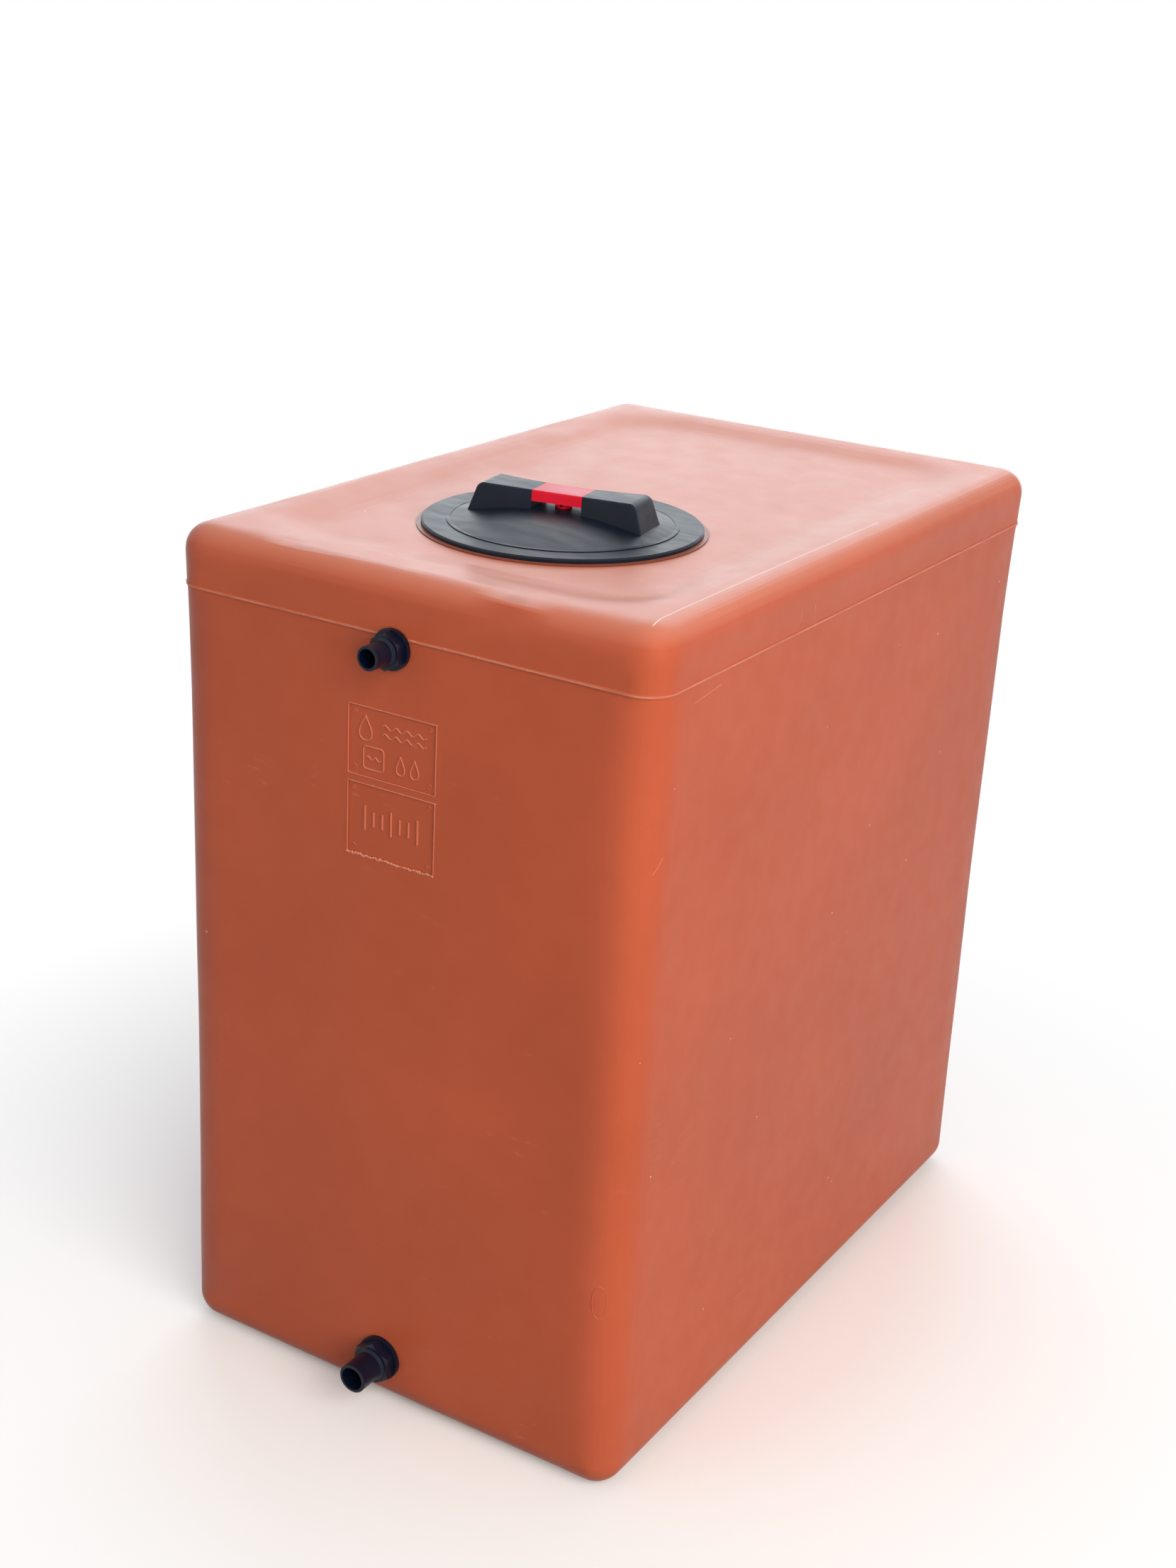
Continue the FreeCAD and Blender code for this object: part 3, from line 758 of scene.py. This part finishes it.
class TANK_OT_marks(bpy.types.Operator):
    """Puts plain water signs, a gauge, screw imprints and moulding burrs on the front wall"""
    bl_idname = "tank.marks"
    bl_label = "Moulded marks"

    def execute(self, context):
        signs = [drop_line(UPPER_PLATE, -0.029, 0.0125, 0.0075, 0.0115)]
        signs += [wave_line(UPPER_PLATE, -0.011, 0.036, v, 0.0018, 4) for v in (0.0175, 0.0095)]
        signs += [frame_line(UPPER_PLATE, -0.020, -0.0145, 0.011, 0.0105, 0.0035),
                  wave_line(UPPER_PLATE, -0.028, -0.012, -0.0145, 0.0015, 2)]
        signs += [drop_line(UPPER_PLATE, u, -0.0145, 0.0048, 0.0085) for u in (0.009, 0.024)]
        ridges = ridge_tree()
        height = sizes().mark_height
        on_tank("plate_signs", ridges, signs, worn=0.25, Radius=height)
        bars = []
        for index in range(7):
            u = (index - 3) * BAR_STEP
            half = LONG_BAR_HALF if index % 3 == 0 else SHORT_BAR_HALF
            bars.append(([on_plate(LOWER_PLATE, u, BARS_V + side * half) for side in (-1, 1)], False))
        on_tank("plate_gauge", ridges, bars, worn=0.25, Radius=1.4 * height)

        # The raised lips round the plates are painted a little pale: a painted highlight on their edges.
        lips = []
        for plate in (UPPER_PLATE, LOWER_PLATE):
            lip, closed = frame_line(plate, 0, 0, PLATE_HALF, (plate[1] - plate[0]) / 2, 1.0 * MM)
            lips.append(([point - Vector((0, PLATE_RECESS, 0)) for point in lip], closed))
        on_tank("plate_lips", ridges, lips, worn=0.35, Radius=0.5 * MM)

        corners = []
        for plate in (UPPER_PLATE, LOWER_PLATE):
            half_height = (plate[1] - plate[0]) / 2 - SCREW_INSET
            half_width = PLATE_HALF - SCREW_INSET
            corners += [([on_plate(plate, su * half_width, sv * half_height)], False)
                        for su in (-1, 1) for sv in (-1, 1)]
        on_tank("plate_screw_marks", screw_mark_tree(), corners, Radius=2.0 * MM, Line=0.5 * MM, Seed=4)
        self.burrs()
        return {"FINISHED"}

    def burrs(self):
        """Burrs along the plates' edges and the parting line."""
        nibs = nib_tree()
        wall_y = shell_low[1] + FLASH_PROUD
        edges = [
            ("lower_edge_burrs", LOWER_PLATE[0], 120, 0.9, 1.2, 1.0, 11),
            ("lower_plate_top_burrs", LOWER_PLATE[1], 34, 0.6, 0.5, 0.5, 12),
            ("upper_plate_top_burrs", UPPER_PLATE[1], 34, 0.6, 0.5, 0.5, 13),
        ]
        for name, z, count, share, thick, scatter, seed in edges:
            line = [Vector((FITTING_X + side * PLATE_HALF, wall_y, z)) for side in (-1, 1)]
            on_tank(name, nibs, [(line, False)], worn=0.8, Count=count, Share=share, Seed=seed,
                    Smallest=(0.25 * MM, 0.25 * MM, 0.4 * MM), Largest=(thick * MM, thick * MM, 2.2 * MM),
                    Scatter=(0.8 * MM, 0.1 * MM, scatter * MM))

        rim = [vert.co for vert in nodes[SHELL].data.vertices if abs(vert.co.z - PARTING_Z) < 2 * MM]
        half_x = max(point.x for point in rim)
        half_y = max(point.y for point in rim)
        pairs = rounded_rectangle(half_x, half_y, PARTING_CORNER_R, 8)
        outline = [Vector((x, y, PARTING_Z)) for x, y in pairs]
        on_tank("parting_burrs", nibs, [(outline, True)], worn=0.8, Count=sizes().flash_nibs, Share=0.55,
                Smallest=(0.2 * MM, 0.2 * MM, 0.4 * MM), Largest=(0.7 * MM, 0.6 * MM, 3.5 * MM),
                Scatter=(0.2 * MM, 0.2 * MM, 0.6 * MM), Seed=21)


# Wear from use, and a painted highlight on the rim's crest, laid on the finished skin

SCRATCHES = (
    ((0.2522, -0.3224, 0.7578), (0.2524, -0.2783, 0.7627)),
    ((0.2540, -0.1420, 0.7948), (0.2536, -0.1421, 0.7844)),
    ((0.2540, -0.1162, 0.7954), (0.2536, -0.1141, 0.7818)),
    ((0.2473, -0.3658, 0.6185), (0.2496, -0.3541, 0.6310)),
)
CREST = ((0.2323, -0.3638, 0.8291), (0.2285, -0.345, 0.830), (0.2276, -0.30, 0.830), (0.2276, 0.06, 0.830))
CREST_SINK = 0.9 * MM
IMPRINT_CENTRE = Vector((0.2299, -0.3812, 0.2055))
IMPRINT_ACROSS = Vector((0.94, 0.35, 0)) * 7 * MM
IMPRINT_UP = Vector((0, 0, 17 * MM))
DRAPE_STEPS = 8


def draped(skin, points, closed=False):
    """Points joined by short steps and laid on the skin."""
    laid = []
    for start, end in zip(points, points[1:]):
        for step in range(DRAPE_STEPS):
            spot = Vector(start).lerp(Vector(end), step / DRAPE_STEPS)
            laid.append(skin.find_nearest(spot)[0])
    laid.append(skin.find_nearest(Vector(points[-1]))[0])
    return laid, closed


class TANK_OT_wear(bpy.types.Operator):
    """Lays scratches, the crest of the rim painted pale as a highlight, and a round imprint on the skin"""
    bl_idname = "tank.wear"
    bl_label = "Wear"

    def execute(self, context):
        mesh = bpy.data.objects["tank_skin"].data
        skin = bvhtree.BVHTree.FromPolygons(
            [vert.co for vert in mesh.vertices], [face.vertices[:] for face in mesh.polygons])
        ridges = ridge_tree()
        scratches = [draped(skin, ends) for ends in SCRATCHES]
        on_tank("wall_scratches", ridges, scratches, worn=0.6, Radius=0.25 * MM)
        # The crest ridge is painted at full paleness: a painted highlight along the rim's edge.
        crest, closed = draped(skin, CREST)
        crest = [point - Vector((0, 0, CREST_SINK)) for point in crest]
        on_tank("rim_crest", ridges, [(crest, closed)], worn=1.0, Radius=CREST_SINK + 0.2 * MM)
        ring = [IMPRINT_CENTRE + IMPRINT_ACROSS * math.cos(t) + IMPRINT_UP * math.sin(t)
                for t in full_turn(12)]
        on_tank("edge_imprint", ridges, [draped(skin, ring, closed=True)], worn=0.12, Radius=0.4 * MM)
        return {"FINISHED"}


# Studio and camera, fitted to the photograph

CAMERA_PLACE = Vector((1.0706, -1.8372, 1.3492))
CAMERA_AZIMUTH = math.radians(31.37)
CAMERA_ELEVATION = math.radians(21.20)
CAMERA_ROLL = math.radians(2.91)
CAMERA_LENS = 51.30
CAMERA_SHIFT_X = 0.0051
WHITE = hex_colour("FFFFFF")
FLOOR_GREY = hex_colour("585858")
SKY_GREY = hex_colour("969698")

# Name, place, aim, size, watts, colour and whether gloss mirrors the lamp. The key isn't mirrored:
# from low behind the tank it would lie on the top as a white sheet.
LAMPS = (
    ("key", (3.0, -1.9, 2.0), (0, 0, 0.45), (3.6, 3.4), 185, (1.0, 0.94, 0.86), False),
    ("sky_behind", (-2.2, 3.8, 1.9), (0, 0, 0.7), (5.0, 2.4), 62, (0.84, 0.92, 1.0), True),
    ("sky_above", (-1.2, 2.4, 3.4), (0, 0, 0.8), (3.6, 2.2), 44, (0.84, 0.92, 1.0), True),
    ("front_fill", (-2.0, -3.6, 2.2), (0, 0, 0.5), (2.6, 2.6), 16, (1.0, 0.95, 0.90), True),
)


def camera_turn():
    """Rotation of a camera that looks at the object from an azimuth and an elevation, then rolls."""
    a, e = CAMERA_AZIMUTH, CAMERA_ELEVATION
    back = Vector((math.sin(a) * math.cos(e), -math.cos(a) * math.cos(e), math.sin(e)))
    right = Vector((math.cos(a), math.sin(a), 0))
    up = back.cross(right)
    rolled_right = right * math.cos(CAMERA_ROLL) + up * math.sin(CAMERA_ROLL)
    rolled_up = up * math.cos(CAMERA_ROLL) - right * math.sin(CAMERA_ROLL)
    return Matrix((rolled_right, rolled_up, back)).transposed()


def soft_lamp(name, place, aim, size, power, colour, mirrored):
    """Large area lamp aimed at a point, unseen by the camera."""
    lamp = bpy.data.lights.new(name, "AREA")
    lamp.shape = "RECTANGLE"
    lamp.size, lamp.size_y = size
    lamp.energy = power
    lamp.color = colour
    holder = bpy.data.objects.new(name, lamp)
    holder.location = place
    holder.rotation_euler = (Vector(aim) - Vector(place)).to_track_quat("-Z", "Y").to_euler()
    holder.visible_camera = False
    holder.visible_glossy = mirrored
    bpy.context.scene.collection.objects.link(holder)


def seen_directly(tree):
    """One where the camera, a reflection or a view through glass looks, nought where light is gathered."""
    path = add(tree, "ShaderNodeLightPath").outputs
    reflected = maths(tree, "MAXIMUM", path["Is Glossy Ray"], path["Is Transmission Ray"])
    return maths(tree, "MAXIMUM", path["Is Camera Ray"], reflected)


def floor_paper():
    """Pale paper that takes the tank's shadow and turns to plain white farther out."""
    material, tree, shader = new_material("floor_paper", roughness=0.9, ior=1.45, specular=0.1)
    seen = seen_directly(tree)
    tree.links.new(mixed(tree, seen, FLOOR_GREY, WHITE), shader.inputs["Base Color"])
    place = add(tree, "ShaderNodeTexCoord").outputs["Object"]
    distance = add(tree, "ShaderNodeVectorMath", {0: place}, operation="LENGTH").outputs["Value"]
    far = maths(tree, "MULTIPLY", seen, between(tree, distance, 0.35, 0.95))
    blank = add(tree, "ShaderNodeEmission", {"Color": WHITE})
    blend = add(tree, "ShaderNodeMixShader", {
        0: far, 1: shader.outputs["BSDF"], 2: blank.outputs["Emission"]})
    tree.links.new(blend.outputs["Shader"], tree.nodes["Material Output"].inputs["Surface"])
    return material


class TANK_OT_stage(bpy.types.Operator):
    """Sets the pale floor, the soft lamps, the sky and the camera"""
    bl_idname = "tank.stage"
    bl_label = "Studio"

    def execute(self, context):
        scene = context.scene
        form = bmesh.new()
        bmesh.ops.create_grid(form, x_segments=2, y_segments=2, size=14)
        mesh = bpy.data.meshes.new("floor")
        form.to_mesh(mesh)
        form.free()
        mesh.materials.append(floor_paper())
        floor = bpy.data.objects.new("floor", mesh)
        scene.collection.objects.link(floor)

        world = bpy.data.worlds.new("studio")
        world.use_nodes = True
        scene.world = world
        sky = world.node_tree
        backdrop = mixed(sky, seen_directly(sky), SKY_GREY, WHITE)
        sky.links.new(backdrop, sky.nodes["Background"].inputs["Color"])
        for lamp in LAMPS:
            soft_lamp(*lamp)

        lens = bpy.data.cameras.new("camera")
        lens.lens = CAMERA_LENS
        lens.shift_x = CAMERA_SHIFT_X
        camera = bpy.data.objects.new("camera", lens)
        camera.matrix_world = Matrix.Translation(CAMERA_PLACE) @ camera_turn().to_4x4()
        scene.collection.objects.link(camera)
        scene.camera = camera
        scene.view_settings.view_transform = "Standard"
        return {"FINISHED"}


STEPS = (TANK_OT_shell, TANK_OT_lid, TANK_OT_fittings, TANK_OT_threads, TANK_OT_marks, TANK_OT_wear,
         TANK_OT_stage)


class TANK_PT_panel(bpy.types.Panel):
    """Lists the tank's steps and settings"""
    bl_idname = "TANK_PT_panel"
    bl_label = "Water tank"
    bl_space_type = "VIEW_3D"
    bl_region_type = "UI"
    bl_category = "Water tank"

    def draw(self, context):
        for settings in (context.scene.tank_sizes, context.scene.tank_finish):
            for name in settings.__annotations__:
                self.layout.prop(settings, name)
        for step in STEPS:
            self.layout.operator(step.bl_idname)


CLASSES = (TankFinish, TankSizes, *STEPS, TANK_PT_panel)


def register():
    for entry in CLASSES:
        bpy.utils.register_class(entry)
    bpy.types.Scene.tank_finish = bpy.props.PointerProperty(type=TankFinish)
    bpy.types.Scene.tank_sizes = bpy.props.PointerProperty(type=TankSizes)


def unregister():
    del bpy.types.Scene.tank_sizes
    del bpy.types.Scene.tank_finish
    for entry in reversed(CLASSES):
        bpy.utils.unregister_class(entry)


def main():
    register()
    bpy.ops.tank.shell()
    bpy.ops.tank.lid()
    bpy.ops.tank.fittings()
    bpy.ops.tank.threads()
    bpy.ops.tank.marks()
    bpy.ops.tank.wear()
    bpy.ops.tank.stage()


if __name__ == "__main__":
    main()
